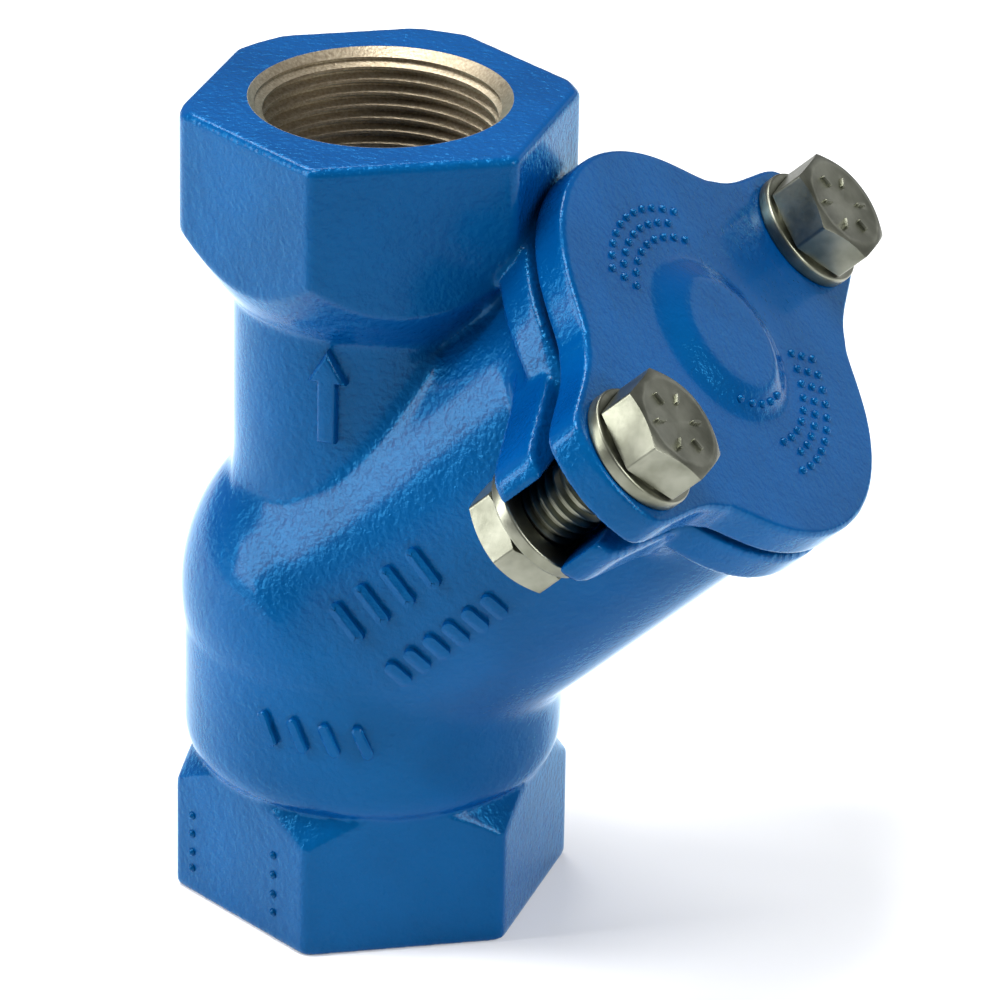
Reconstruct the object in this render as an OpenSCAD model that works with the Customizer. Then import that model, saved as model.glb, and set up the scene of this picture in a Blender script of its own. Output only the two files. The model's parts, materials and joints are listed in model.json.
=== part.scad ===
// Threaded ball check valve with an inclined ball chamber and a bolted cover.
// The flow enters at the bottom thread, lifts a coated ball off its seat into
// the inclined branch, and leaves through the neck at the top.
// Frame: Z is the pipe axis, the inlet face is z = 0, and the branch leans
// towards +X, so the XZ plane is the plane of symmetry.

/* [Body] */
// Length from the inlet face to the outlet face
body_length = 144; // [140:1:158]
// Width across the flats of both end hexagons
hex_flats = 59.2; // [57:0.2:64]
// Height of the inlet hexagon at its corners
inlet_hex_height = 21; // [18:0.2:22]
// Height of the outlet hexagon at its corners
outlet_hex_height = 20.5; // [18:0.5:24]
// Outer radius of the round neck below the outlet
neck_radius = 24.1; // [23:0.1:26]
// Outer radius of the bulb around the ball
bulb_radius = 32.8; // [32.4:0.1:34]

/* [Branch] */
// Angle of the branch above the horizontal, in degrees
branch_angle = 43; // [42:0.5:46]
// Outer radius of the branch
branch_radius = 32.7; // [32:0.1:34]
// Distance from the pipe axis to the gasket face, along the branch
branch_length = 73.5; // [70:0.5:80]
// Wall thickness of the ball chamber
wall = 5.2; // [4:0.2:6]

/* [Cover] */
// Radius of the round middle of the cover
cover_radius = 37; // [36:0.1:38]
// Thickness of the cover plate
cover_thickness = 6.5; // [5:0.2:9]
// Distance from the branch axis to each bolt axis
bolt_offset = 46.8; // [46:0.2:50]
// Thickness of the cover gasket
gasket_thickness = 1.5; // [1:0.1:3]

/* [Threads] */
// Minor radius of the pipe thread in both ends
thread_radius = 19.476; // [19.476]
// Depth of the pipe thread in both ends
thread_depth = 18; // [16:0.5:19]

/* [Ball] */
// Outer radius of the coated ball
ball_radius = 24; // [23.6:0.1:24.4]
// Thickness of the rubber coating
coating_thickness = 3; // [2:0.5:5]
// Slope of the conical seat above the horizontal, in degrees
seat_slope = 40; // [38:0.5:41]

/* [Bolts] */
// Nominal thread diameter of the cover bolts
bolt_diameter = 12; // [11.5:0.1:12]
// Width across the flats of the bolt heads and nuts
wrench_size = 18; // [17:0.5:19]
// Height of the bolt heads
head_height = 7.5; // [6:0.1:8]
// Height of the nuts
nut_height = 6; // [5:0.1:8]
// Outer diameter of the washers
washer_diameter = 21.4; // [21:0.2:23]
// Thickness of the washers
washer_thickness = 2.5; // [1.5:0.1:3]

/* [Hidden] */
$fn = 96;
eps = 0.01;

// Clearances that keep moving and stacked pieces apart
ball_clearance = 0.35;
thread_clearance = 0.04;
washer_clearance = 0.4;
stack_gap = 0.05;

// End hexagons
hex_corner = hex_flats / 2 / cos(30);
inlet_bevel = 4.4;
edge_chamfer = 1.7;
mouth_radius = 21.9;
mouth_depth = 1;
flare_depth = 12.4;
outlet_hex_base = body_length - outlet_hex_height;
flare_base = outlet_hex_base - flare_depth;

// Lower body between the inlet hexagon and the bulb
collar_z = inlet_hex_height + inlet_bevel;
collar_radius = hex_corner - inlet_bevel;
waist_radius = bulb_radius - 0.6;
shoulder_round = 6;
shoulder_bulge = 0.12;
bulb_z = 55;

// Branch and ball chamber
branch_z = 54;
chamber_radius = branch_radius - wall;
bulb_cavity_radius = chamber_radius + 0.7;
bulb_cavity_z = bulb_z - 1;
outlet_bore_radius = 18;
seat_bore_radius = 15;
bore_start = 3;

// The ball rests on the seat with a small clearance below it along the branch
ball_drop = (chamber_radius - ball_radius - ball_clearance) / cos(branch_angle);
ball_z = branch_z - ball_drop;
seat_contact_radius = ball_radius * sin(seat_slope);
seat_contact_z = ball_z - ball_radius * cos(seat_slope) - stack_gap;
seat_base_z = seat_contact_z - (seat_contact_radius - seat_bore_radius) * tan(seat_slope);
seat_height = (chamber_radius - seat_bore_radius) * tan(seat_slope);
core_radius = ball_radius - coating_thickness;

// Cover outline
ear_root_x = 34;
ear_root_width = 16.4;
ear_taper = 14.2;
ear_overhang = 11.5;
ear_end_radius = 19;
valley_radius = 8;
flange_thickness = 7;
dome_radius = 15.5;
dome_height = 2.6;
spigot_depth = 3;
spigot_clearance = 0.3;
spigot_wall = 5;
bolt_hole_radius = bolt_diameter / 2 + 0.75;

// Bolt forks on the body flange
fork_thickness = 8.8;
fork_overhang = ear_overhang;
fork_relief = 2.2;
fork_root_radius = branch_radius - 0.5;
fork_slot_radius = bolt_diameter / 2 + 0.8;

// Heights of the bolted stack, measured along the branch
cover_base = branch_length + gasket_thickness;
cover_top = cover_base + cover_thickness;
fork_top = branch_length - fork_relief;
fork_base = fork_top - fork_thickness;
head_base = cover_top + washer_thickness;
nut_top = fork_base - washer_thickness - 2 * stack_gap;
nut_base = nut_top - nut_height;
bolt_tip = nut_base - 2.2;
bolt_radius = bolt_diameter / 2;
nut_bore_radius = bolt_radius + thread_clearance;

// Gasket
gasket_outer_radius = 34.6;
gasket_inner_radius = chamber_radius + 1;

// Places its children on the branch axis, at a distance from the pipe axis
module along_branch(distance) {
    translate([0, 0, branch_z])
        rotate([0, 90 - branch_angle, 0])
            translate([0, 0, distance])
                children();
}

// Places its children on one bolt axis: side is -1 at the front, 1 at the rear
module on_bolt(side, distance) {
    along_branch(distance)
        translate([0, side * bolt_offset, 0])
            children();
}

// Hexagonal prism with two corners on the Y axis
module hexagon(height, radius) {
    rotate([0, 0, 90])
        cylinder(h = height, r = radius, $fn = 6);
}

// Circle that is tangent to the outside of a circle and to a tapered ear's side
function ear_normal() = [cos(ear_taper), sin(ear_taper)];
function ear_line() = ear_root_width * cos(ear_taper) + ear_root_x * sin(ear_taper);
function valley_reach(round_radius) =
    sqrt(pow(round_radius + valley_radius, 2) - pow(ear_line() + valley_radius, 2));
function valley_centre(round_radius) =
    ear_normal() * (ear_line() + valley_radius)
    + [-sin(ear_taper), cos(ear_taper)] * valley_reach(round_radius);

// One quarter of the outline, with the ear along +Y, cut at a given reach
module outline_quarter(round_radius, reach) {
    centre = valley_centre(round_radius);
    side_foot = centre - ear_normal() * valley_radius;
    round_foot = centre * round_radius / (round_radius + valley_radius);
    end_x = ear_root_width - (reach - ear_root_x) * tan(ear_taper);
    difference() {
        polygon([
            [0, 0], round_foot, centre, side_foot, [end_x, reach], [0, reach]
        ]);
        translate(centre)
            circle(r = valley_radius);
    }
}

// Outline of the cover and the forks: a round middle and two bolt ears
module lobed_outline(round_radius, reach) {
    circle(r = round_radius);
    for (x_side = [0, 1])
        for (y_side = [0, 1])
            mirror([x_side, 0])
                mirror([0, y_side])
                    outline_quarter(round_radius, reach);
}

// The cover's ears end in a shallow arc with rounded corners
module ear_end_limit() {
    reach = bolt_offset + ear_overhang;
    arc_centre = reach - ear_end_radius;
    for (y_side = [0, 1])
        mirror([0, y_side])
            translate([0, arc_centre])
                circle(r = ear_end_radius);
    square([4 * cover_radius, 2 * arc_centre], center = true);
}

// Outside of the casting that is round about the pipe axis
module round_casting() {
    shoulder_top = collar_z + shoulder_round;
    shoulder_x = waist_radius + shoulder_bulge - collar_radius;
    shoulder_radius = (pow(shoulder_round, 2) + pow(shoulder_x, 2)) / (2 * shoulder_x);
    difference() {
        union() {
            translate([0, 0, collar_z - eps])
                cylinder(h = bulb_z - collar_z, r = waist_radius);
            translate([0, 0, bulb_z])
                sphere(r = bulb_radius);
            translate([0, 0, bulb_z])
                cylinder(h = flare_base - bulb_z + eps, r = neck_radius);
        }
        // Rounded shoulder above the inlet hexagon
        rotate_extrude()
            difference() {
                translate([collar_radius, collar_z - 2 * eps])
                    square([2 * shoulder_x, shoulder_round + 2 * eps]);
                translate([collar_radius + shoulder_x - shoulder_radius, shoulder_top])
                    circle(r = shoulder_radius, $fn = 200);
            }
        // Nothing of the bulb reaches down into the hexagon
        translate([0, 0, -eps])
            cylinder(h = collar_z, r = 2 * bulb_radius);
    }
}

// Inlet hexagon, bevelled at both ends of its corners
module inlet_hexagon() {
    intersection() {
        hexagon(collar_z, hex_corner);
        rotate_extrude()
            polygon([
                [0, 0],
                [hex_corner - edge_chamfer, 0],
                [hex_corner, edge_chamfer],
                [hex_corner + eps, inlet_hex_height],
                [collar_radius, collar_z],
                [0, collar_z]
            ]);
    }
}

// Outlet hexagon, flaring out of the neck
module outlet_hexagon() {
    intersection() {
        translate([0, 0, flare_base])
            hexagon(body_length - flare_base, hex_corner);
        rotate_extrude()
            polygon([
                [0, flare_base],
                [neck_radius, flare_base],
                [hex_corner + eps, outlet_hex_base],
                [hex_corner + eps, body_length],
                [0, body_length]
            ]);
    }
}

// Passage, seat and threads, all about the pipe axis
module pipe_passage() {
    for (end = [0, 1])
        translate([0, 0, end * body_length])
            mirror([0, 0, end]) {
                translate([0, 0, -eps])
                    cylinder(h = thread_depth + eps, r = thread_radius);
                translate([0, 0, -eps])
                    cylinder(h = mouth_depth + eps, r1 = mouth_radius + eps, r2 = thread_radius);
            }
    cylinder(h = seat_base_z + eps, r = seat_bore_radius);
    translate([0, 0, seat_base_z])
        cylinder(h = seat_height, r1 = seat_bore_radius, r2 = chamber_radius);
    translate([0, 0, seat_base_z + seat_height - eps])
        cylinder(h = bulb_cavity_z - seat_base_z - seat_height, r = chamber_radius);
    translate([0, 0, bulb_cavity_z])
        sphere(r = bulb_cavity_radius);
    translate([0, 0, bulb_cavity_z])
        cylinder(h = body_length - bulb_cavity_z - eps, r = outlet_bore_radius);
}

// Flange with two open bolt forks
module branch_flange() {
    along_branch(branch_length - flange_thickness)
        cylinder(h = flange_thickness, r = cover_radius);
    along_branch(fork_base)
        linear_extrude(fork_thickness)
            difference() {
                intersection() {
                    lobed_outline(fork_root_radius, bolt_offset + fork_overhang);
                    ear_end_limit();
                }
                for (y_side = [0, 1])
                    mirror([0, y_side]) {
                        translate([0, bolt_offset])
                            circle(r = fork_slot_radius);
                        translate([-fork_slot_radius, bolt_offset])
                            square([2 * fork_slot_radius, 2 * fork_overhang]);
                    }
            }
}

// Raised flow arrow on the front of the neck
module flow_arrow() {
    arrow_base = 90;
    arrow_length = 17;
    head_length = 6;
    head_half_width = 4.4;
    shaft_half_width = 1.4;
    arrow_depth = 6;
    arrow_proud = 1.3;
    translate([0, -neck_radius - arrow_proud + arrow_depth, arrow_base])
        rotate([90, 0, 0])
            linear_extrude(arrow_depth)
                polygon([
                    [-shaft_half_width, 0],
                    [shaft_half_width, 0],
                    [shaft_half_width, arrow_length - head_length],
                    [head_half_width, arrow_length - head_length],
                    [0, arrow_length],
                    [-head_half_width, arrow_length - head_length],
                    [-shaft_half_width, arrow_length - head_length]
                ]);
}

module body() {
    color([0.02, 0.28, 0.52])
        difference() {
            union() {
                inlet_hexagon();
                round_casting();
                outlet_hexagon();
                along_branch(0)
                    cylinder(h = branch_length, r = branch_radius);
                branch_flange();
                flow_arrow();
            }
            pipe_passage();
            along_branch(bore_start)
                cylinder(h = branch_length - bore_start + eps, r = chamber_radius);
        }
}

module cover() {
    color([0.02, 0.3, 0.58])
        along_branch(cover_base)
            difference() {
                union() {
                    linear_extrude(cover_thickness)
                        intersection() {
                            lobed_outline(cover_radius, bolt_offset + ear_overhang);
                            ear_end_limit();
                        }
                    translate([0, 0, cover_thickness - eps])
                        cylinder(h = dome_height, r1 = dome_radius, r2 = dome_radius - 5);
                    translate([0, 0, -spigot_depth])
                        cylinder(h = spigot_depth + eps, r = chamber_radius - spigot_clearance);
                }
                translate([0, 0, -spigot_depth - eps])
                    cylinder(h = spigot_depth, r = chamber_radius - spigot_wall);
                for (side = [-1, 1])
                    translate([0, side * bolt_offset, -eps])
                        cylinder(h = cover_thickness + 2 * eps, r = bolt_hole_radius);
            }
}

module cover_gasket() {
    color([0.05, 0.05, 0.05])
        along_branch(branch_length)
            difference() {
                cylinder(h = gasket_thickness, r = gasket_outer_radius);
                translate([0, 0, -eps])
                    cylinder(h = gasket_thickness + 2 * eps, r = gasket_inner_radius);
            }
}

module ball_core() {
    color([0.7, 0.71, 0.72])
        translate([0, 0, ball_z])
            sphere(r = core_radius);
}

module ball_coating() {
    color([0.06, 0.06, 0.06])
        translate([0, 0, ball_z])
            difference() {
                sphere(r = ball_radius);
                sphere(r = core_radius);
            }
}

// Hexagonal head or nut blank with rounded-off corners on its outer end
module hex_blank(height, both_ends) {
    corner = wrench_size / 2 / cos(30);
    round_off = corner - wrench_size / 2;
    crown = round_off * tan(30);
    intersection() {
        hexagon(height, corner);
        rotate_extrude()
            polygon([
                [0, 0],
                [both_ends ? corner - round_off : corner, 0],
                [corner, both_ends ? crown : eps],
                [corner, height - crown],
                [corner - round_off, height],
                [0, height]
            ]);
    }
}

module bolt(side) {
    color([0.62, 0.62, 0.56])
        on_bolt(side, 0) {
            translate([0, 0, head_base])
                hex_blank(head_height, false);
            translate([0, 0, bolt_tip + 1])
                cylinder(h = head_base - bolt_tip - 1 + eps, r = bolt_radius);
            translate([0, 0, bolt_tip])
                cylinder(h = 1 + eps, r1 = bolt_radius - 1, r2 = bolt_radius);
        }
}

module washer(side, distance) {
    color([0.66, 0.66, 0.6])
        on_bolt(side, distance)
            difference() {
                cylinder(h = washer_thickness, d = washer_diameter);
                translate([0, 0, -eps])
                    cylinder(h = washer_thickness + 2 * eps, r = bolt_radius + washer_clearance);
            }
}

module nut(side) {
    color([0.64, 0.64, 0.58])
        on_bolt(side, nut_base)
            difference() {
                hex_blank(nut_height, true);
                translate([0, 0, -eps])
                    cylinder(h = nut_height + 2 * eps, r = nut_bore_radius);
            }
}

module bolt_front() { bolt(-1); }
module bolt_rear() { bolt(1); }
module head_washer_front() { washer(-1, cover_top); }
module head_washer_rear() { washer(1, cover_top); }
module nut_washer_front() { washer(-1, nut_top + stack_gap); }
module nut_washer_rear() { washer(1, nut_top + stack_gap); }
module nut_front() { nut(-1); }
module nut_rear() { nut(1); }

body();
cover();
cover_gasket();
ball_core();
ball_coating();
bolt_front();
bolt_rear();
head_washer_front();
head_washer_rear();
nut_washer_front();
nut_washer_rear();
nut_front();
nut_rear();
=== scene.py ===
import json
import math
import bpy
from mathutils import Matrix, Vector


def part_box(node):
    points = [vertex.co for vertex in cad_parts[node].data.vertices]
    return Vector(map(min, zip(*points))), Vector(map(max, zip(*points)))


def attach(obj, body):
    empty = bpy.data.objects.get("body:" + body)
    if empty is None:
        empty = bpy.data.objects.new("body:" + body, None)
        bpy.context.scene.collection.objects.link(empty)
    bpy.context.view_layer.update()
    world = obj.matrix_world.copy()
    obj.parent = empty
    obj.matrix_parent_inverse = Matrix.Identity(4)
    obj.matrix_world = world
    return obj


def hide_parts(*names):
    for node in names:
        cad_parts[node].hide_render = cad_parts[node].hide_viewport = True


mm = 0.001

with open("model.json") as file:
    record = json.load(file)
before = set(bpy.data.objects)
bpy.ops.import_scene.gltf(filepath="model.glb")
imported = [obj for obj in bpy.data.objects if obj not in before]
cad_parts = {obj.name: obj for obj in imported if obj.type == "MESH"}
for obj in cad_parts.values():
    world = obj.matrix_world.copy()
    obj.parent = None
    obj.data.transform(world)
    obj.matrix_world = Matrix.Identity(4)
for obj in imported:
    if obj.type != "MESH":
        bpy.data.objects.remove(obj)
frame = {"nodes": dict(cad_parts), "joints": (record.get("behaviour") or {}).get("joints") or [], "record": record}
bpy.ops.object.select_all(action="DESELECT")
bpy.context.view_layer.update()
print("frame loaded:", len(frame["nodes"]), "CAD nodes")

# places taken from the frame
joints = {joint["name"]: joint for joint in frame["joints"]}
mounts = {mount["name"]: mount for mount in frame["record"]["mounts"]}
branchDirection = Vector(joints["ball_lift"]["axis"]).normalized()
nutAxisPoint = Vector(joints["nut_front_turn"]["pos_m"])
branchFoot = Vector((0, 0, nutAxisPoint.z - nutAxisPoint.x * branchDirection.z / branchDirection.x))
branchTilt = math.atan2(branchDirection.x, branchDirection.z)
boltOffset = abs(nutAxisPoint.y)
hexInner = abs(mounts["inlet_wrench_flat"]["pos_m"][0])   # pipe axis to a flat
hexCorner = hexInner / math.cos(math.radians(30))
topZ = mounts["outlet_face"]["pos_m"][2]
minorRadius = mounts["inlet_thread"]["dims"]["r_mm"] * mm


def middleOf(node):
    low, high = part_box(node)
    return (low + high) / 2


def alongBranch(node):
    return (middleOf(node) - branchFoot).dot(branchDirection)


def branchPlace(distance=0.0, side=0):
    spot = branchFoot + branchDirection * distance + Vector((0, side * boltOffset, 0))
    return Matrix.Translation(spot) @ Matrix.Rotation(branchTilt, 4, "Y")


# modelling helpers
def startFrom(name):
    piece = bpy.context.object
    piece.name = name
    piece.data.name = name
    return piece


def makeActive(piece):
    bpy.ops.object.select_all(action="DESELECT")
    piece.select_set(True)
    bpy.context.view_layer.objects.active = piece


def pick(piece, kind, test):
    # selects vertices, edges or polygons by a test, and leaves the piece in edit mode
    makeActive(piece)
    mesh = piece.data
    for part in (mesh.vertices, mesh.edges, mesh.polygons):
        part.foreach_set("select", [False] * len(part))
    bpy.context.tool_settings.mesh_select_mode = (kind == "vertices", kind == "edges", kind == "polygons")
    for item in getattr(mesh, kind):
        item.select = test(item)
    bpy.ops.object.mode_set(mode="EDIT")


def endEdit():
    bpy.ops.object.mode_set(mode="OBJECT")


def spinProfile(name, points, steps=128):
    # points are (radius, height) in mm; the chain is spun about Z
    bpy.ops.mesh.primitive_plane_add(size=mm)
    piece = startFrom(name)
    pick(piece, "vertices", lambda vertex: True)
    bpy.ops.mesh.merge(type="CENTER")
    bpy.ops.transform.translate(value=(points[0][0] * mm, 0, points[0][1] * mm))
    for before, after in zip(points, points[1:]):
        step = ((after[0] - before[0]) * mm, 0, (after[1] - before[1]) * mm)
        bpy.ops.mesh.extrude_vertices_move(TRANSFORM_OT_translate={"value": step})
    bpy.ops.mesh.select_all(action="SELECT")
    bpy.ops.mesh.spin(steps=steps, angle=2 * math.pi, center=(0, 0, 0), axis=(0, 0, 1))
    cleanUp(piece)
    return piece


def cleanUp(piece):
    bpy.ops.mesh.select_all(action="SELECT")
    bpy.ops.mesh.remove_doubles(threshold=2e-6)
    bpy.ops.mesh.normals_make_consistent(inside=False)
    endEdit()


def applyModifier(piece, kind, **settings):
    makeActive(piece)
    modifier = piece.modifiers.new(kind.title(), kind)
    for key, value in settings.items():
        setattr(modifier, key, value)
    bpy.ops.object.modifier_apply(modifier=modifier.name)


def combine(piece, other, operation):
    applyModifier(piece, "BOOLEAN", object=other, operation=operation, solver="MANIFOLD")
    bpy.data.objects.remove(other)


def place(piece, matrix):
    makeActive(piece)
    piece.matrix_world = matrix @ piece.matrix_world
    bpy.ops.object.transform_apply(location=True, rotation=True, scale=True)


def copyOf(piece, name, matrix=None):
    twin = piece.copy()
    twin.data = piece.data.copy()
    twin.name = name
    twin.data.name = name
    bpy.context.collection.objects.link(twin)
    if matrix is not None:
        place(twin, matrix)
    return twin


def joinInto(piece, others):
    bpy.ops.object.select_all(action="DESELECT")
    for other in others:
        other.select_set(True)
    piece.select_set(True)
    bpy.context.view_layer.objects.active = piece
    bpy.ops.object.join()


def castTogether(piece, voxel, smoothing, triangles):
    # one skin over all joined shapes, softened like a casting
    applyModifier(piece, "REMESH", mode="VOXEL", voxel_size=voxel * mm, use_smooth_shade=True)
    applyModifier(piece, "SMOOTH", factor=0.5, iterations=smoothing)
    count = sum(len(face.vertices) - 2 for face in piece.data.polygons)
    if count > triangles:
        applyModifier(piece, "DECIMATE", ratio=triangles / count, use_collapse_triangulate=False)


def shadeByAngle(piece, degrees):
    makeActive(piece)
    bpy.ops.object.shade_smooth_by_angle(angle=math.radians(degrees))


def arcPoints(centre, radius, start, end, count):
    points = []
    for i in range(count):
        angle = math.radians(start + (end - start) * i / (count - 1))
        points.append((centre[0] + radius * math.cos(angle), centre[1] + radius * math.sin(angle)))
    return points


def filletPoints(before, corner, after, radius, count=7):
    # rounds one corner of a profile
    toBefore = (Vector(before) - Vector(corner)).normalized()
    toAfter = (Vector(after) - Vector(corner)).normalized()
    half = toBefore.angle(toAfter) / 2
    reach = radius / math.tan(half)
    centre = Vector(corner) + (toBefore + toAfter).normalized() * (radius / math.sin(half))
    first = Vector(corner) + toBefore * reach - centre
    last = Vector(corner) + toAfter * reach - centre
    points = []
    for i in range(count):
        t = i / (count - 1)
        spoke = (first * (1 - t) + last * t).normalized() * radius
        points.append((centre.x + spoke.x, centre.y + spoke.y))
    return points


def hexBlock(name, radius, low, high):
    # two corners on the Y axis
    bpy.ops.mesh.primitive_cylinder_add(vertices=6, radius=radius, depth=high - low,
                                        location=(0, 0, (low + high) / 2))
    piece = startFrom(name)
    bpy.ops.object.transform_apply(location=True, rotation=True, scale=True)
    return piece


def roundUprights(piece, width, test, segments=5):
    mesh = piece.data

    def isUpright(edge):
        a, b = (mesh.vertices[i].co for i in edge.vertices)
        return abs((a - b).normalized().z) > 0.99 and test((a + b) / 2)

    pick(piece, "edges", isUpright)
    bpy.ops.mesh.bevel(offset=width * mm, segments=segments, profile=0.5)
    endEdit()


# threads
def threadCoil(name, coreRadius, crestRadius, pitch, crestShare, low, turns, steps):
    # a closed tooth profile wound about Z with a right-hand lead, all in mm
    root = coreRadius - 0.12 * pitch
    wide = 0.46 * pitch
    narrow = crestShare * pitch / 2
    corners = [(root, low - wide), (crestRadius, low - narrow), (crestRadius, low + narrow), (root, low + wide)]
    bpy.ops.mesh.primitive_plane_add(size=mm)
    piece = startFrom(name)
    makeActive(piece)
    for vertex, (x, z) in zip([piece.data.vertices[i] for i in (0, 1, 3, 2)], corners):
        vertex.co = (x * mm, 0, z * mm)
    pick(piece, "polygons", lambda face: True)
    bpy.ops.mesh.delete(type="ONLY_FACE")
    endEdit()
    applyModifier(piece, "SCREW", axis="Z", angle=2 * math.pi, steps=steps, render_steps=steps,
                  iterations=turns, screw_offset=pitch * mm, use_merge_vertices=False,
                  use_normal_calculate=False)
    makeActive(piece)
    bpy.ops.object.mode_set(mode="EDIT")
    bpy.ops.mesh.select_all(action="SELECT")
    bpy.ops.mesh.fill_holes(sides=4)
    cleanUp(piece)
    return piece


def tube(name, radius, low, high, sides=96):
    bpy.ops.mesh.primitive_cylinder_add(vertices=sides, radius=radius * mm, depth=(high - low) * mm,
                                        location=(0, 0, (low + high) / 2 * mm))
    piece = startFrom(name)
    bpy.ops.object.transform_apply(location=True, rotation=True, scale=True)
    return piece


# lobed outline of cover and forks
def lobedRadius(angle, shape):
    # angle is measured from the ear's axis; all in mm
    angle = abs(math.remainder(angle, math.pi))
    taper = math.tan(math.radians(shape["earTaper"]))
    side = (shape["earRootWidth"] + shape["earRootReach"] * taper) / (math.sin(angle) + math.cos(angle) * taper)
    centre = shape["reach"] - shape["earEndRadius"]
    bend = shape["earEndRadius"] ** 2 - (centre * math.sin(angle)) ** 2
    end = centre * math.cos(angle) + math.sqrt(max(bend, 0.0)) if bend > 0 else side
    k = shape["cornerBlend"]
    h = max(k - abs(side - end), 0) / k
    ear = min(side, end) - h * h * k / 4
    k = shape["valleyBlend"]
    h = max(k - abs(shape["roundRadius"] - ear), 0) / k
    return max(shape["roundRadius"], ear) + h * h * k / 4


def lobedPlate(name, shape, low, high, count=288):
    bpy.ops.mesh.primitive_circle_add(vertices=count, radius=0.03, fill_type="NGON", location=(0, 0, 0))
    piece = startFrom(name)
    for vertex in piece.data.vertices:
        angle = math.atan2(vertex.co.x, vertex.co.y)
        reach = lobedRadius(angle, shape) * mm
        vertex.co = (reach * math.sin(angle), reach * math.cos(angle), low * mm)
    pick(piece, "polygons", lambda face: True)
    bpy.ops.mesh.extrude_region_move(TRANSFORM_OT_translate={"value": (0, 0, (high - low) * mm)})
    cleanUp(piece)
    return piece


def roundRims(piece, width, low, high, segments=4):
    mesh = piece.data

    def isRim(edge):
        a, b = (mesh.vertices[i].co for i in edge.vertices)
        flat = abs(a.z - b.z) < 1e-7
        return flat and (abs(a.z - low * mm) < 1e-6 or abs(a.z - high * mm) < 1e-6)

    pick(piece, "edges", isRim)
    bpy.ops.mesh.bevel(offset=width * mm, segments=segments, profile=0.5)
    endEdit()


# heights along the branch, in mm
stack = {
    "gasketThickness": 1.5, "coverThickness": 6.5, "washerThickness": 2.5, "headHeight": 7.5,
    "nutHeight": 6.0, "flangeThickness": 7.0, "forkThickness": 8.8, "forkDrop": 2.2, "tipBelowNut": 2.2,
}
gasketMiddle = alongBranch("cover_gasket") / mm
branchLength = gasketMiddle - stack["gasketThickness"] / 2
coverBase = gasketMiddle + stack["gasketThickness"] / 2
coverTop = coverBase + stack["coverThickness"]


def boltHeight(node, side):
    point = middleOf(node) - branchFoot - Vector((0, side * boltOffset, 0))
    return point.dot(branchDirection) / mm


headWasherBase = boltHeight("head_washer_front", -1) - stack["washerThickness"] / 2
nutWasherBase = boltHeight("nut_washer_front", -1) - stack["washerThickness"] / 2
nutBase = boltHeight("nut_front", -1) - stack["nutHeight"] / 2
headBase = headWasherBase + stack["washerThickness"]

# body casting
casting = {
    "neckRadius": 24.1, "bulbRadius": 32.8, "bulbHeight": 55.0, "waistRadius": 32.2, "collarRadius": 29.8,
    "collarHeight": 25.4, "collarBulge": 2.4, "collarRise": 6.0, "plugRadius": 28.5, "neckTop": 104.0,
    "inletCorner": 20.2, "neckFillet": 6.0, "flareStart": 109.6, "flareFillet": 2.5,
    "flareKnee": (28.0, 114.6), "crownRadius": 32.2, "crownShift": (0.7, -1.3),
    "outletHead": 20.5, "branchRadius": 32.7, "flangeRadius": 37.0, "flangeFillet": 3.0,
    "voxel": 0.6, "creaseWidth": 5.5, "creaseSteps": 160, "softSteps": 5, "triangles": 150000,
}
topMm = topZ / mm
cornerMm = hexCorner / mm


def trunkProfile(shape):
    bulb = (0.0, shape["bulbHeight"])
    reach = shape["neckRadius"] + shape["neckFillet"]
    lift = math.sqrt((shape["bulbRadius"] + shape["neckFillet"]) ** 2 - reach ** 2)
    lean = math.degrees(math.atan2(lift, reach))
    start = -math.degrees(math.acos(shape["waistRadius"] / shape["bulbRadius"]))
    points = [(0, 1), (shape["plugRadius"], 1), (shape["plugRadius"], shape["collarHeight"] - 0.8)]
    for step in range(7):
        turn = step * math.pi / 12
        points.append((shape["collarRadius"] + shape["collarBulge"] * math.sin(turn),
                       shape["collarHeight"] + shape["collarRise"] * (1 - math.cos(turn))))
    points += arcPoints(bulb, shape["bulbRadius"], start, lean, 40)
    points += arcPoints((reach, shape["bulbHeight"] + lift), shape["neckFillet"], 180 + lean, 180, 9)[1:]
    points += [(shape["neckRadius"], shape["neckTop"]), (0, shape["neckTop"])]
    return points


def trunkRadiusAt(profile, height):
    for (r1, z1), (r2, z2) in zip(profile[3:], profile[4:]):
        if z1 <= height <= z2 and z2 > z1:
            return r1 + (r2 - r1) * (height - z1) / (z2 - z1)
    return casting["neckRadius"]


def makeTrunk():
    profile = trunkProfile(casting)
    return spinProfile("valveBody", profile, 160), profile


def makeInletHex():
    block = hexBlock("inletHex", hexCorner, 0, casting["collarHeight"] * mm)
    roundUprights(block, 0.7, lambda point: True, 4)
    roundRims(block, 0.5, 0, -9, 3)
    envelope = spinProfile("inletEnvelope", [
        (0, -1), (cornerMm - 0.9, -1), (cornerMm - 0.9, 0), (cornerMm + 0.1, 1.0),
        (cornerMm + 0.1, casting["inletCorner"] - 0.3),
        (casting["collarRadius"], casting["collarHeight"]), (0, casting["collarHeight"] + 1)])
    combine(block, envelope, "INTERSECT")
    return block


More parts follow.
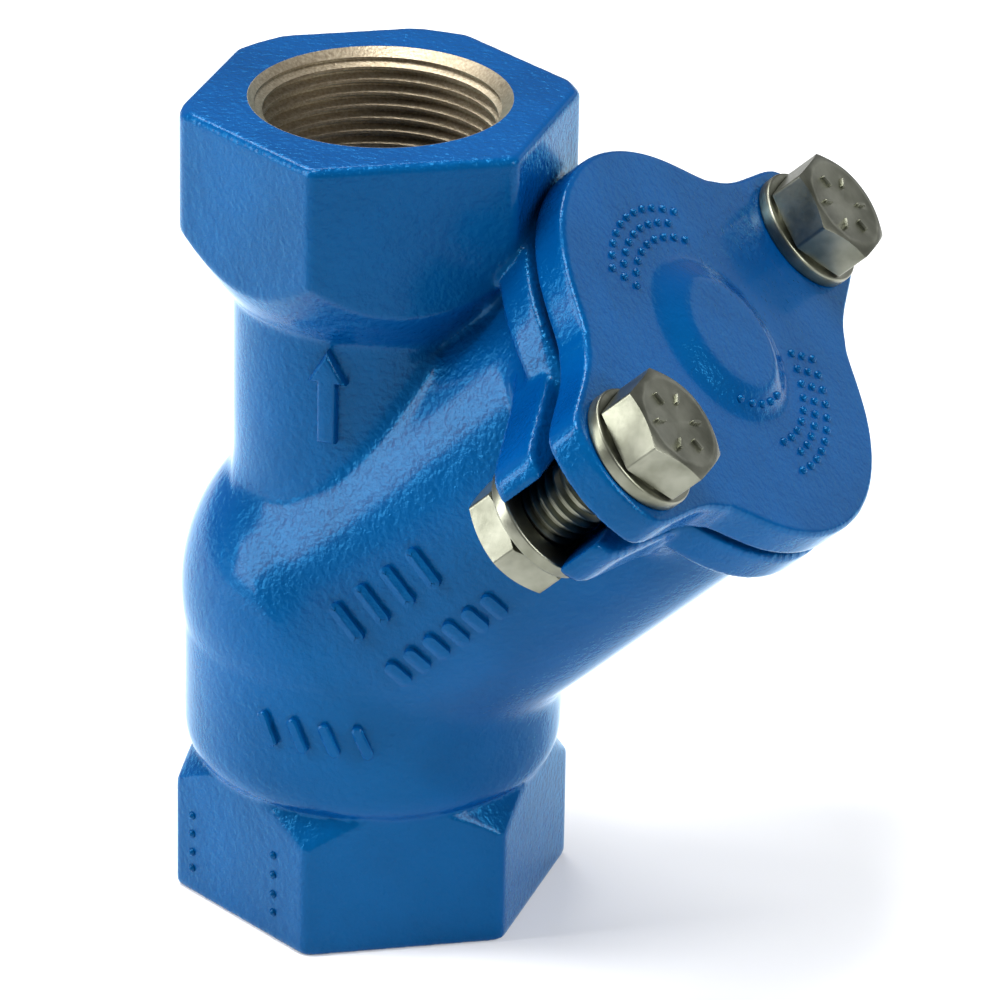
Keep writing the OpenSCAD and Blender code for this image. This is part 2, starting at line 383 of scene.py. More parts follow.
def makeOutletHex():
    def isCrisp(point):
        return point.y < -0.01 and point.x > -0.01

    block = hexBlock("outletHex", hexCorner, 98 * mm, topZ)
    roundUprights(block, 1.0, isCrisp, 4)
    roundUprights(block, 2.4, lambda point: not isCrisp(point), 6)
    roundRims(block, 0.8, topMm + 9, topMm, 3)
    neck = casting["neckRadius"]
    headLow = topMm - casting["outletHead"]
    knee = casting["flareKnee"]
    flare = filletPoints((neck, 99), (neck, casting["flareStart"]), knee, casting["flareFillet"], 7)
    rise = filletPoints((neck, casting["flareStart"]), knee, (cornerMm, headLow), 2.5, 5)
    wide, lid = cornerMm + 0.2, topMm + 0.05
    envelope = spinProfile("outletEnvelope", [(0, 97), (neck, 97)] + flare + rise
                           + [(wide, headLow + 0.3), (wide, lid), (0, lid)])
    combine(block, envelope, "INTERSECT")
    # the corner chamfer was turned slightly off centre, so the rear corners lose more
    crown = casting["crownRadius"]
    cone = spinProfile("crown", [(0, 90), (crown + topMm - 90, 90), (crown, lid), (0, lid)])
    shiftX, shiftY = casting["crownShift"]
    place(cone, Matrix.Translation((shiftX * mm, shiftY * mm, 0)))
    combine(block, cone, "INTERSECT")
    return block


def makeBranch():
    radius, rim, fillet = casting["branchRadius"], casting["flangeRadius"], casting["flangeFillet"]
    under = branchLength - stack["flangeThickness"]
    branch = spinProfile("branchArm", [(0, 2), (31, 2), (radius, 7)]
                         + filletPoints((radius, 20), (radius, under), (rim + 2, under), fillet, 7)
                         + filletPoints((radius + 1, under), (rim, under), (rim, branchLength), 1.0, 5)
                         + filletPoints((rim, under), (rim, branchLength), (0, branchLength), 0.9, 5)
                         + [(0, branchLength)], 160)
    place(branch, branchPlace())
    return branch


forkShape = {"roundRadius": 32.2, "earTaper": 14.2, "earRootWidth": 16.4, "earRootReach": 34.0, "reach": 58.3,
             "earEndRadius": 19.0, "cornerBlend": 3.0, "valleyBlend": 9.0, "slotRadius": 6.8}


def makeForks():
    high = branchLength - stack["forkDrop"]
    low = high - stack["forkThickness"]
    forks = lobedPlate("boltForks", forkShape, low, high)
    roundRims(forks, 0.9, low, high, 3)
    for side in (-1, 1):
        slot = tube("slot", forkShape["slotRadius"], low - 2, high + 2, 64)
        place(slot, Matrix.Translation((0, side * boltOffset, 0)))
        combine(forks, slot, "DIFFERENCE")
        bpy.ops.mesh.primitive_cube_add(size=1, location=(0, side * (boltOffset + 0.01), (low + high) / 2 * mm),
                                        scale=(2 * forkShape["slotRadius"] * mm, 0.02, 0.016))
        gap = startFrom("gap")
        place(gap, Matrix.Identity(4))
        combine(forks, gap, "DIFFERENCE")
    place(forks, branchPlace())
    return forks


def markCreases(body, profile):
    # weights near the lines where the branch meets the trunk, and where the forks leave the branch
    group = body.vertex_groups.new(name="crease")
    radius = casting["branchRadius"]
    width = casting["creaseWidth"]
    for vertex in body.data.vertices:
        point = vertex.co
        arm = (point - branchFoot).dot(branchDirection) / mm
        off = ((point - branchFoot) / mm - branchDirection * arm).length
        height = point.z / mm
        around = math.hypot(point.x, point.y) / mm
        weight = 0.0
        if arm > 0 and 26.5 < height < 108:
            gap = abs(off - radius) + abs(around - trunkRadiusAt(profile, height))
            weight = max(0.0, min(1.0, 1.7 - gap / width))
        if 54 < arm < 64.5 and off > radius - 1:
            weight = max(weight, max(0.0, min(1.0, 1.6 - (abs(off - radius) + abs(arm - 62.5)) / 2.2)))
        if weight > 0:
            group.add([vertex.index], weight, "REPLACE")


def softMark(name, length, width, height, places):
    # a rounded raised pad, modelled once and copied to its places
    bpy.ops.mesh.primitive_cube_add(size=1, scale=(length * mm, width * mm, height * mm))
    pad = startFrom(name)
    place(pad, Matrix.Identity(4))
    mesh = pad.data

    def isUpright(edge):
        a, b = (mesh.vertices[i].co for i in edge.vertices)
        return abs((a - b).z) > 1e-5

    pick(pad, "edges", isUpright)
    bpy.ops.mesh.bevel(offset=min(length, width) * 0.46 * mm, segments=5, profile=0.5)
    endEdit()
    pick(pad, "polygons", lambda face: face.normal.z > 0.9)
    bpy.ops.mesh.inset(thickness=width * 0.16 * mm)
    bpy.ops.transform.translate(value=(0, 0, 0.3 * mm))
    endEdit()
    pads = [copyOf(pad, name, matrix) for matrix in places]
    bpy.data.objects.remove(pad)
    joinInto(pads[0], pads[1:])
    return pads[0]


def dotMark(name, radius, places):
    bpy.ops.mesh.primitive_uv_sphere_add(segments=14, ring_count=9, radius=radius * mm)
    dot = startFrom(name)
    pick(dot, "vertices", lambda vertex: abs(vertex.co.z) < 0.9 * radius * mm)
    bpy.ops.transform.resize(value=(1.0, 1.0, 0.82))
    endEdit()
    dots = [copyOf(dot, name, matrix) for matrix in places]
    bpy.data.objects.remove(dot)
    joinInto(dots[0], dots[1:])
    return dots[0]


def facing(point, normal):
    # a place whose Z looks along the normal
    return Matrix.Translation(point) @ Vector(normal).to_track_quat("Z", "Y").to_matrix().to_4x4()


marks = {
    "arrowLow": 92.0, "arrowLength": 16.6, "arrowHead": 5.8, "arrowHalf": 3.4, "arrowShaft": 1.65,
    "arrowEdge": 0.7, "proud": 1.7,
    # each row: place across the branch, bar length, places along the branch
    "padRows": [(-2.6, 8.0, (11.5, 17.5, 23.5, 29.5)), (9.5, 5.4, (12, 16.5, 21, 25.5, 30, 34.5))],
    "padWidth": 2.4, "padHeight": 1.6,
    "waistMarks": (-7.5, -2.0, 3.5, 9.0), "waistHeight": 41.0, "waistLean": 24, "waistLength": 6.4,
    "waistWidth": 1.9,
    # each row: share of the flat's width, heights
    "hexDots": [(0.13, (15.0, 11.5, 8.0, 4.9)), (0.76, (16.2, 12.5, 8.8, 5.3))], "hexDotRadius": 0.75,
}


def makeArrow():
    neck = casting["neckRadius"]
    low, tall, head = marks["arrowLow"], marks["arrowLength"], marks["arrowHead"]
    shaft, half = marks["arrowShaft"], marks["arrowHalf"]
    barb = tall - head
    corners = [(-shaft, 0), (shaft, 0), (shaft, barb), (half, barb), (0, tall), (-half, barb), (-shaft, barb)]
    bpy.ops.mesh.primitive_circle_add(vertices=7, radius=mm, fill_type="NGON")
    arrow = startFrom("flowArrow")
    for vertex, (x, z) in zip(arrow.data.vertices, corners):
        vertex.co = (x * mm, -(neck - 4) * mm, (low + z) * mm)
    pick(arrow, "polygons", lambda face: True)
    bpy.ops.mesh.extrude_region_move(TRANSFORM_OT_translate={"value": (0, -(4 + marks["proud"]) * mm, 0)})
    cleanUp(arrow)
    front = -(neck + marks["proud"]) * mm
    mesh = arrow.data
    pick(arrow, "edges", lambda edge: all(abs(mesh.vertices[i].co.y - front) < 1e-6 for i in edge.vertices))
    bpy.ops.mesh.bevel(offset=marks["arrowEdge"] * mm, segments=3, profile=0.5)
    endEdit()
    return arrow


def branchSurface(across, arm):
    radius = casting["branchRadius"]
    y = -math.sqrt(radius ** 2 - across ** 2)
    local = branchPlace()
    point = local @ Vector((across * mm, y * mm, arm * mm))
    normal = local.to_3x3() @ Vector((across, y, 0)).normalized()
    along = branchDirection
    side = along.cross(normal).normalized()
    basis = Matrix((along, side, normal)).transposed().to_4x4()
    return Matrix.Translation(point) @ basis


def makeMarks():
    high = marks["padHeight"]
    pads = []
    for across, wide, arms in marks["padRows"]:
        row = [branchSurface(across, arm) for arm in arms]
        pads.append(softMark("armMarks", marks["padWidth"], wide, high, row))
    waist = []
    radius = casting["waistRadius"]
    lean = Matrix.Rotation(math.radians(marks["waistLean"]), 4, "Z")
    for x in marks["waistMarks"]:
        angle = math.asin(x / radius)
        normal = Vector((math.sin(angle), -math.cos(angle), 0))
        point = normal * radius * mm + Vector((0, 0, marks["waistHeight"] * mm))
        basis = Matrix((Vector((0, 0, 1)), Vector((0, 0, 1)).cross(-normal), normal)).transposed().to_4x4()
        waist.append(Matrix.Translation(point) @ basis @ lean)
    bars = softMark("waistBars", marks["waistLength"], marks["waistWidth"], high, waist)
    hexPlaces = []
    left = Vector((-hexInner, -hexCorner / 2, 0))
    front = Vector((0, -hexCorner, 0))
    normal = Vector((-math.cos(math.radians(60)), -math.sin(math.radians(60)), 0))
    for share, heights in marks["hexDots"]:
        for height in heights:
            hexPlaces.append(facing(left.lerp(front, share) + Vector((0, 0, height * mm)), normal))
    small = dotMark("hexDots", marks["hexDotRadius"], hexPlaces)
    return pads + [bars, small]


# passage and threads cut into the casting
passage = {
    "mouthRadius": 21.9, "chamfer": 2.3, "threadDepth": 18.0, "seatBore": 15.0, "seatBase": 30.9,
    "seatTop": 41.4, "chamberRadius": 27.5, "cavityRadius": 28.2, "cavityHeight": 54.0, "outletBore": 18.0,
    "pitch": 2.309, "majorRadius": 20.955, "turns": 7,
}


def cutPassage(body):
    p = passage
    minor = minorRadius / mm
    low = -math.degrees(math.acos(p["chamberRadius"] / p["cavityRadius"]))
    high = math.degrees(math.acos(p["outletBore"] / p["cavityRadius"]))
    cavity = arcPoints((0, p["cavityHeight"]), p["cavityRadius"], low, high, 22)
    bore = spinProfile("bore", [
        (0, -1), (p["mouthRadius"] + 1, -1), (p["mouthRadius"] + 0.1, -0.1),
        (minor, p["chamfer"]), (minor, p["threadDepth"]),
        (p["seatBore"], p["threadDepth"] + 2), (p["seatBore"], p["seatBase"]),
        (p["chamberRadius"], p["seatTop"])] + cavity + [
        (p["outletBore"], topMm - p["threadDepth"] - 2), (minor, topMm - p["threadDepth"]),
        (minor, topMm - p["chamfer"]),
        (p["mouthRadius"] + 0.1, topMm + 0.1), (p["mouthRadius"] + 1, topMm + 1), (0, topMm + 1)], 160)
    combine(body, bore, "DIFFERENCE")
    arm = tube("armBore", p["chamberRadius"], 3, branchLength + 4, 160)
    place(arm, branchPlace())
    combine(body, arm, "DIFFERENCE")
    for start in (-0.6, topMm - 0.2 - p["turns"] * p["pitch"]):
        groove = threadCoil("groove", minor, p["majorRadius"], p["pitch"], 0.16, start, p["turns"], 128)
        combine(body, groove, "DIFFERENCE")


def buildBody():
    body, profile = makeTrunk()
    joinInto(body, [makeInletHex(), makeOutletHex(), makeBranch(), makeForks()])
    applyModifier(body, "REMESH", mode="VOXEL", voxel_size=casting["voxel"] * mm, use_smooth_shade=True)
    markCreases(body, profile)
    applyModifier(body, "SMOOTH", factor=0.5, iterations=casting["creaseSteps"], vertex_group="crease")
    body.vertex_groups.clear()
    applyModifier(body, "SMOOTH", factor=0.5, iterations=casting["softSteps"])
    count = sum(len(face.vertices) - 2 for face in body.data.polygons)
    applyModifier(body, "DECIMATE", ratio=min(1.0, casting["triangles"] / count),
                  use_collapse_triangulate=False)
    for mark in [makeArrow()] + makeMarks():
        combine(body, mark, "UNION")
    cutPassage(body)
    shadeByAngle(body, 32)
    return body


valveBody = buildBody()
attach(valveBody, "valve")
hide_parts("body")
print("body casting:", len(valveBody.data.polygons), "faces")

# cover
coverShape = {
    "roundRadius": 37.0, "earTaper": 14.2, "earRootWidth": 16.4, "earRootReach": 34.0, "reach": 58.3,
    "earEndRadius": 19.0, "cornerBlend": 3.0, "valleyBlend": 9.0, "holeRadius": 6.75,
    "domeFoot": 22.0, "domeRadius": 15.5, "domeTop": 10.5, "domeHeight": 2.6,
    "spigotOuter": 27.2, "spigotInner": 22.5, "spigotDepth": 3.0, "voxel": 0.45, "triangles": 90000,
    # each ring: radius, spacing, shift in half spacings
    "dotRings": [(19.8, 3.1, 0), (22.6, 3.1, 1), (25.4, 3.1, 0)], "dotSpread": 36, "dotRadius": 0.78,
    "dotMiddles": (20, 176),
    # radius, rise over the cover, middle angle, step angle, dots to each side
    "domeDots": (13.0, 1.3, -24, 13, 2),
}


def coverSpot(radius, angle, rise=0.0):
    angle = math.radians(angle)
    spot = Vector((radius * math.cos(angle), radius * math.sin(angle), coverTop + rise))
    return Matrix.Translation(spot * mm)


def buildCover():
    s = coverShape
    cover = lobedPlate("valveCover", s, coverBase, coverTop)
    roundRims(cover, 0.9, coverBase - 9, coverTop, 4)
    roundRims(cover, 0.5, coverBase, coverTop + 9, 3)
    top = coverTop + s["domeHeight"]
    foot, rim, crest = (s["domeFoot"], coverTop), (s["domeRadius"], coverTop), (s["domeTop"], top)
    dome = spinProfile("dome", [(0, coverTop - 2), (foot[0], coverTop - 2), (foot[0], coverTop - 0.02)]
                       + filletPoints(foot, rim, crest, 6, 8)
                       + filletPoints(rim, crest, (0, top), 5, 8) + [(0, top)], 128)
    outer, inner, low = s["spigotOuter"], s["spigotInner"], coverBase - s["spigotDepth"]
    spigot = spinProfile("spigot", [
        (inner, low), (outer - 0.5, low), (outer, low + 0.5), (outer, coverBase + 1),
        (inner, coverBase + 1), (inner, low)], 128)
    joinInto(cover, [dome, spigot])
    castTogether(cover, s["voxel"], 3, s["triangles"])
    places = []
    for radius, spacing, shift in s["dotRings"]:
        step = math.degrees(spacing / radius)
        count = int(s["dotSpread"] / step)
        for middle in s["dotMiddles"]:
            for i in range(-count, count + 1):
                places.append(coverSpot(radius, middle + (i + 0.5 * shift) * step))
    radius, rise, middle, step, count = s["domeDots"]
    places += [coverSpot(radius, middle + i * step, rise) for i in range(-count, count + 1)]
    combine(cover, dotMark("coverDots", s["dotRadius"], places), "UNION")
    for side in (-1, 1):
        hole = tube("hole", s["holeRadius"], coverBase - 5, coverTop + 5, 64)
        place(hole, Matrix.Translation((0, side * boltOffset, 0)))
        combine(cover, hole, "DIFFERENCE")
    place(cover, branchPlace())
    shadeByAngle(cover, 34)
    return cover


valveCover = buildCover()
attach(valveCover, "valve")
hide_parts("cover")
print("cover:", len(valveCover.data.polygons), "faces")

# gasket
gasketShape = {"inner": 28.5, "outer": 34.6, "bulge": 0.3}


def buildGasket():
    g = gasketShape
    low, high = branchLength, coverBase
    inner, outer, bulge = g["inner"], g["outer"], g["bulge"]
    ring = spinProfile("coverGasket", [
        (inner, low), (outer - bulge, low), (outer, low + 0.5), (outer, high - 0.5),
        (outer - bulge, high), (inner, high), (inner - 0.2, (low + high) / 2), (inner, low)], 160)
    place(ring, branchPlace())
    shadeByAngle(ring, 40)
    return ring


coverGasket = buildGasket()
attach(coverGasket, "valve")
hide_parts("cover_gasket")

# ball coating
ballShape = {"radius": 24.0, "thickness": 3.0, "seam": 0.12}


def buildBall():
    centre = middleOf("ball_coating")
    bpy.ops.mesh.primitive_uv_sphere_add(segments=96, ring_count=64, radius=(ballShape["radius"] - 0.13) * mm)
    ball = startFrom("ballCoating")
    mesh = ball.data
    pick(ball, "edges", lambda edge: all(abs(mesh.vertices[i].co.z) < 1e-6 for i in edge.vertices))
    bpy.ops.mesh.bevel(offset=0.35 * mm, segments=4, profile=0.5)
    endEdit()
    pick(ball, "vertices", lambda vertex: abs(vertex.co.z) < 0.2 * mm)
    swell = 1 + ballShape["seam"] / ballShape["radius"]
    bpy.ops.transform.resize(value=(swell, swell, 1))
    endEdit()
    applyModifier(ball, "SOLIDIFY", thickness=(ballShape["thickness"] - 0.2) * mm, offset=-1.0)
    place(ball, Matrix.Translation(centre))
    shadeByAngle(ball, 40)
    return ball


ballCoating = buildBall()
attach(ballCoating, "ball")
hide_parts("ball_coating")
print("gasket and ball made")

# bolts, washers and nuts
fastener = {
    "flats": 18.0, "pitch": 1.75, "crest": 5.98, "core": 5.1, "nutCrest": 6.2, "nutCore": 5.42,
    "washerInner": 6.4, "washerOuter": 10.7, "washerEdge": 0.45,
    "tickLength": 2.3, "tickWidth": 0.7, "tickMiddle": 4.8, "ticks": 6,
}
fastenerCorner = fastener["flats"] / 2 / math.cos(math.radians(30))


def hexPiece(name, low, high, envelope):
    block = hexBlock(name, fastenerCorner * mm, low * mm, high * mm)
    roundUprights(block, 0.35, lambda point: True, 3)
    combine(block, spinProfile(name + "Envelope", envelope, 96), "INTERSECT")
    return block


def buildBolt():
    f = fastener
    low, high = headBase, headBase + stack["headHeight"]
    flat, corner = f["flats"] / 2, fastenerCorner
    tip = nutBase - stack["tipBelowNut"]
    thread, root = f["crest"] + 0.05, f["core"]
    head = hexPiece("bolt", low, high, [
        (0, low), (flat - 0.5, low), (flat - 0.4, low + 0.4), (corner + 0.2, low + 0.5),
        (corner + 0.2, high - 0.95), (corner - 0.2, high - 0.75), (flat - 0.3, high), (flat - 1.3, high),
        (flat - 1.9, high - 0.22), (0, high - 0.22)])
    core = spinProfile("core", [
        (0, tip), (root - 0.9, tip), (root, tip + 0.9), (root, low + 0.3), (0, low + 0.3)], 72)
    start = math.ceil((tip + 0.5) / f["pitch"]) * f["pitch"]
    turns = int((low - start - 0.4) / f["pitch"])
    coil = threadCoil("coil", root, f["crest"], f["pitch"], 0.14, start, turns, 72)
    combine(core, coil, "UNION")
    crop = spinProfile("crop", [
        (0, tip), (root - 0.4, tip), (thread, tip + 1.3), (thread, low + 0.3), (0, low + 0.3)], 96)
    combine(core, crop, "INTERSECT")
    combine(head, core, "UNION")
    raised = Matrix.Translation((0, 0, (high - 0.2) * mm))
    outward = Matrix.Translation((f["tickMiddle"] * mm, 0, 0))
    step = 2 * math.pi / f["ticks"]
    ticks = [raised @ Matrix.Rotation(step * i, 4, "Z") @ outward for i in range(f["ticks"])]
    combine(head, softMark("ticks", f["tickLength"], f["tickWidth"], 0.5, ticks), "UNION")
    shadeByAngle(head, 28)
    return head


def buildNut():
    f = fastener
    low, high = nutBase, nutBase + stack["nutHeight"]
    flat, corner = f["flats"] / 2, fastenerCorner
    crest, root = f["nutCrest"], f["nutCore"]
    nut = hexPiece("nut", low, high, [
        (0, low), (flat - 0.3, low), (corner - 0.2, low + 0.75), (corner + 0.2, low + 0.95),
        (corner + 0.2, high - 0.95), (corner - 0.2, high - 0.75), (flat - 0.3, high), (0, high)])
    hole = spinProfile("hole", [
        (0, low - 1), (crest + 1.3, low - 1), (root, low + 1.08), (root, high - 1.08),
        (crest + 1.3, high + 1), (0, high + 1)], 96)
    combine(nut, hole, "DIFFERENCE")
    start = math.floor((low - 1) / f["pitch"]) * f["pitch"]
    turns = int((high + 2 - start) / f["pitch"])
    combine(nut, threadCoil("nutGroove", root, crest, f["pitch"], 0.2, start, turns, 72), "DIFFERENCE")
    shadeByAngle(nut, 28)
    return nut


def buildWasher():
    inner, outer, thick = fastener["washerInner"], fastener["washerOuter"], stack["washerThickness"]
    soft = fastener["washerEdge"]
    inside = filletPoints((inner, 1), (inner, 0), (outer, 0), 0.2, 3)
    washer = spinProfile("washer", inside
                         + filletPoints((inner, 0), (outer, 0), (outer, thick), soft, 5)
                         + filletPoints((outer, 0), (outer, thick), (inner, thick), soft, 5)
                         + filletPoints((outer, thick), (inner, thick), (inner, 0), 0.2, 3)
                         + [inside[0]], 96)
    shadeByAngle(washer, 35)
    return washer


boltMaster, nutMaster, washerMaster = buildBolt(), buildNut(), buildWasher()
zincPieces = []
for side, end in ((-1, "front"), (1, "rear")):
    spot = branchPlace(0, side)
    for name, master, height, body in (
            ("bolt_" + end, boltMaster, 0, "valve"),
            ("head_washer_" + end, washerMaster, headWasherBase, "valve"),
            ("nut_washer_" + end, washerMaster, nutWasherBase, "washer_" + end),
            ("nut_" + end, nutMaster, 0, "nut_" + end)):
        first, *rest = name.split("_")
        title = first + "".join(word.title() for word in rest) + "Zinc"
        piece = copyOf(master, title, spot @ Matrix.Translation((0, 0, height * mm)))
        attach(piece, body)
        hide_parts(name)
        zincPieces.append(piece)
for master in (boltMaster, nutMaster, washerMaster):
    bpy.data.objects.remove(master)
print("fasteners:", len(zincPieces))


# materials
class Wire:
    # a shader socket that does sums
    def __init__(self, tree, socket):
        self.tree = tree
        self.socket = socket

    def node(self, kind, settings=None, inputs=None, output=0):
        made = self.tree.nodes.new(kind)
        for key, value in (settings or {}).items():
            setattr(made, key, value)
        for key, value in (inputs or {}).items():
            if isinstance(value, Wire):
                self.tree.links.new(value.socket, made.inputs[key])
            else:
                made.inputs[key].default_value = value
        return Wire(self.tree, made.outputs[output])

    def sum(self, operation, left, right):
        return self.node("ShaderNodeMath", {"operation": operation}, {0: left, 1: right})

    def __add__(self, other): return self.sum("ADD", self, other)
    def __radd__(self, other): return self.sum("ADD", other, self)
    def __sub__(self, other): return self.sum("SUBTRACT", self, other)
    def __rsub__(self, other): return self.sum("SUBTRACT", other, self)
    def __mul__(self, other): return self.sum("MULTIPLY", self, other)
    def __rmul__(self, other): return self.sum("MULTIPLY", other, self)
    def __pow__(self, other): return self.sum("POWER", self, other)
    def __gt__(self, other): return self.sum("GREATER_THAN", self, other)
    def __lt__(self, other): return self.sum("LESS_THAN", self, other)

    def clamp(self):
        return self.node("ShaderNodeClamp", None, {"Value": self})

    def between(self, low, high):
        return self.node("ShaderNodeMapRange", {"interpolation_type": "SMOOTHSTEP"},
                         {"Value": self, "From Min": low, "From Max": high})


class Finish:
    # one material: its coordinates, textures and shader
    def __init__(self, name, **constants):
        self.material = bpy.data.materials.new(name)
        self.material.use_nodes = True
        self.tree = self.material.node_tree
        self.shader = self.tree.nodes["Principled BSDF"]
        coordinates = self.tree.nodes.new("ShaderNodeTexCoord")
        self.place = Wire(self.tree, coordinates.outputs["Object"])
        for key, value in constants.items():
            self.shader.inputs[key].default_value = value

    def noise(self, size, detail=3.0, roughness=0.5):
        return self.place.node("ShaderNodeTexNoise", None, {
            "Vector": self.place, "Scale": 1 / (size * mm), "Detail": detail, "Roughness": roughness})

    def mix(self, factor, first, second):
        # sockets 6 and 7 are the two colours of a Mix node, output 2 is its colour
        return self.place.node("ShaderNodeMix", {"data_type": "RGBA"}, {0: factor, 6: first, 7: second}, 2)

    def feed(self, name, wire):
        self.tree.links.new(wire.socket, self.shader.inputs[name])

    def bump(self, height, strength, distance):
        inputs = {"Height": height, "Strength": strength, "Distance": distance * mm}
        self.feed("Normal", self.place.node("ShaderNodeBump", None, inputs))

    def wear(self, piece):
        piece.data.materials.clear()
        piece.data.materials.append(self.material)


epoxy = {
    "deep": (0.0, 0.06, 0.15, 1), "bright": (0.0, 0.083, 0.2, 1),
    "iron": (0.46, 0.39, 0.28, 1), "ironDark": (0.3, 0.24, 0.16, 1),
    "bareRadius": 21.96, "bareDepth": 19.9, "peelSize": 1.1, "grainSize": 3.4,
}


def makeEpoxy():
    finish = Finish("blueEpoxyOnIron", **{
        "Coat Roughness": 0.14, "Coat IOR": 1.15, "Coat Tint": (0.3, 0.75, 1.0, 1),
        "Specular IOR Level": 0.35, "Specular Tint": (0.2, 0.7, 1.0, 1)})
    parts = finish.place.node("ShaderNodeSeparateXYZ", None, {0: finish.place})
    x, y, z = (Wire(finish.tree, parts.socket.node.outputs[i]) for i in range(3))
    around = (x * x + y * y) ** 0.5
    nearPipe = around < epoxy["bareRadius"] * mm
    bareDepth = epoxy["bareDepth"] * mm
    atEnds = (z > topZ - bareDepth) + (z < bareDepth)
    bare = (nearPipe * atEnds).clamp()
    cloud = finish.noise(26, 3)
    peel = finish.noise(epoxy["peelSize"], 2, 0.5)
    grain = finish.noise(epoxy["grainSize"], 4, 0.6)
    blue = finish.mix(cloud.between(0.3, 0.7), epoxy["deep"], epoxy["bright"])
    streak = finish.noise(0.5, 3, 0.6)
    iron = finish.mix(streak.between(0.3, 0.75), epoxy["ironDark"], epoxy["iron"])
    finish.feed("Base Color", finish.mix(bare, blue, iron))
    painted = 0.15 + 0.12 * grain
    finish.feed("Roughness", painted * (1 - bare) + (0.3 + 0.2 * streak) * bare)
    finish.feed("Metallic", bare * 0.85)
    finish.feed("Coat Weight", 1 - bare)
    height = (peel * 0.8 + grain) * (1 - bare) + streak * bare * 0.2
    finish.bump(height, 0.55, 0.6)
    return finish


zinc = {"dull": (0.14, 0.145, 0.108, 1), "bright": (0.27, 0.275, 0.22, 1), "cloudSize": 6, "fineSize": 0.9}


def makeZinc():
    finish = Finish("zincSteel", **{"Metallic": 1.0})
    cloud = finish.noise(zinc["cloudSize"], 3)
    fine = finish.noise(zinc["fineSize"], 4, 0.65)
    finish.feed("Base Color", finish.mix(cloud.between(0.25, 0.75), zinc["dull"], zinc["bright"]))
    finish.feed("Roughness", 0.24 + 0.22 * fine)
    finish.bump(fine * 0.5 + cloud * 0.5, 0.25, 0.12)
    return finish


gasketFinish = {"dark": (0.008, 0.008, 0.009, 1), "light": (0.022, 0.022, 0.023, 1), "gloss": 0.55}
ballFinish = {"dark": (0.012, 0.012, 0.013, 1), "light": (0.03, 0.03, 0.032, 1), "gloss": 0.4}


def makeRubber(name, look):
    finish = Finish(name, **{"Specular IOR Level": 0.4})
    speckle = finish.noise(1.2, 4, 0.6)
    finish.feed("Base Color", finish.mix(speckle.between(0.3, 0.7), look["dark"], look["light"]))
    finish.feed("Roughness", look["gloss"] + 0.2 * speckle)
    finish.bump(speckle, 0.3, 0.15)
    return finish


aluminium = {"dark": (0.55, 0.56, 0.57, 1), "light": (0.78, 0.79, 0.8, 1)}


def makeAluminium():
    finish = Finish("coreAluminium", **{"Metallic": 1.0})
    grain = finish.noise(0.7, 4, 0.6)
    finish.feed("Base Color", finish.mix(grain, aluminium["dark"], aluminium["light"]))
    finish.feed("Roughness", 0.35 + 0.2 * grain)
    finish.bump(grain, 0.2, 0.1)
    return finish


blueEpoxy, zincSteel = makeEpoxy(), makeZinc()
gasketRubber = makeRubber("gasketRubber", gasketFinish)
ballRubber = makeRubber("ballRubber", ballFinish)
coreAluminium = makeAluminium()
blueEpoxy.wear(valveBody)
blueEpoxy.wear(valveCover)
gasketRubber.wear(coverGasket)
ballRubber.wear(ballCoating)
coreAluminium.wear(frame["nodes"]["ball_core"])
for piece in zincPieces:
    zincSteel.wear(piece)
print("materials made")

# camera, floor and lights
camera = {
    "target": (15.0, 0.0, 75.0), "azimuth": 18.154, "elevation": 25.485, "roll": 1.121,
    "distance": 1266.4, "right": 6.66, "up": -1.88, "lens": 271.58,
}


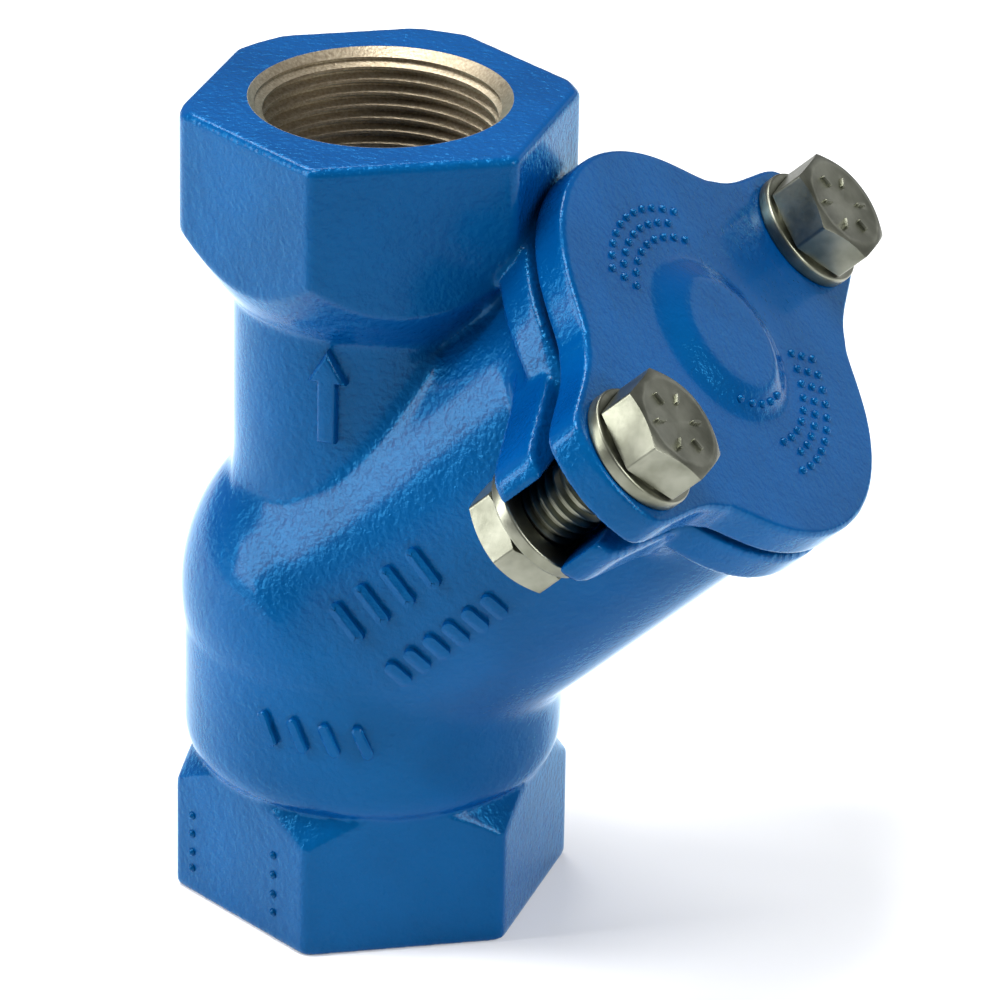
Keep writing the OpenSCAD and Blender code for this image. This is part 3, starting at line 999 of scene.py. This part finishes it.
def addCamera():
    az, el, roll = (math.radians(camera[key]) for key in ("azimuth", "elevation", "roll"))
    back = Vector((math.sin(az) * math.cos(el), -math.cos(az) * math.cos(el), math.sin(el)))
    right = Vector((math.cos(az), math.sin(az), 0))
    up = back.cross(right)
    level, upright = right, up
    right = level * math.cos(roll) + upright * math.sin(roll)
    up = upright * math.cos(roll) - level * math.sin(roll)
    aim = Vector(camera["target"]) + right * camera["right"] + up * camera["up"]
    bpy.ops.object.camera_add()
    eye = bpy.context.object
    eye.name = "studioCamera"
    stand = Matrix.Translation((aim + back * camera["distance"]) * mm)
    eye.matrix_world = stand @ Matrix((right, up, back)).transposed().to_4x4()
    eye.data.sensor_width = 36
    eye.data.lens = camera["lens"]
    eye.data.clip_start = 0.05
    eye.data.clip_end = 20
    bpy.context.scene.camera = eye


studio = {
    "floor": (0.85, 0.853, 0.857, 1), "floorGlow": 0.15,
    "world": (0.93, 0.95, 1.0, 1), "worldStrength": 0.26,
}
lamps = {
    "leftBox": {"at": (-0.6, -0.3, 0.42), "size": (0.28, 0.75), "power": 6.5},
    "topBox": {"at": (-0.12, -0.05, 0.9), "size": (0.35, 0.35), "power": 7.0},
    "rimStrip": {"at": (-0.4, 0.42, 0.8), "size": (0.6, 0.14), "power": 4.0},
    "coverSheen": {"at": (0.42, 0.78, 0.3), "size": (0.5, 0.3), "power": 0.28},
    "rightFill": {"at": (0.72, -0.2, 0.45), "size": (0.3, 0.4), "power": 4.5},
}


def addStudio():
    bpy.ops.mesh.primitive_plane_add(size=8)
    floor = startFrom("studioFloor")
    finish = Finish("paleFloor", **{
        "Roughness": 0.85, "Specular IOR Level": 0.1,
        "Emission Color": (1, 1, 1, 1), "Emission Strength": studio["floorGlow"]})
    paler = tuple(min(1, c * 1.02) for c in studio["floor"])
    finish.feed("Base Color", finish.mix(finish.noise(300, 2), studio["floor"], paler))
    finish.wear(floor)
    for name, lamp in lamps.items():
        spot = Vector(lamp["at"])
        bpy.ops.object.light_add(type="AREA", location=spot)
        light = bpy.context.object
        light.name = name
        light.rotation_euler = (Vector((0.015, 0, 0.075)) - spot).to_track_quat("-Z", "Y").to_euler()
        light.data.shape = "RECTANGLE"
        light.data.size, light.data.size_y = lamp["size"]
        light.data.energy = lamp["power"]
    world = bpy.data.worlds.new("paleStudio")
    bpy.context.scene.world = world
    world.use_nodes = True
    backdrop = world.node_tree.nodes["Background"]
    backdrop.inputs["Color"].default_value = studio["world"]
    backdrop.inputs["Strength"].default_value = studio["worldStrength"]
    bpy.context.scene.view_settings.view_transform = "Standard"


addCamera()
addStudio()
print("studio ready")

bpy.ops.object.select_all(action="DESELECT")
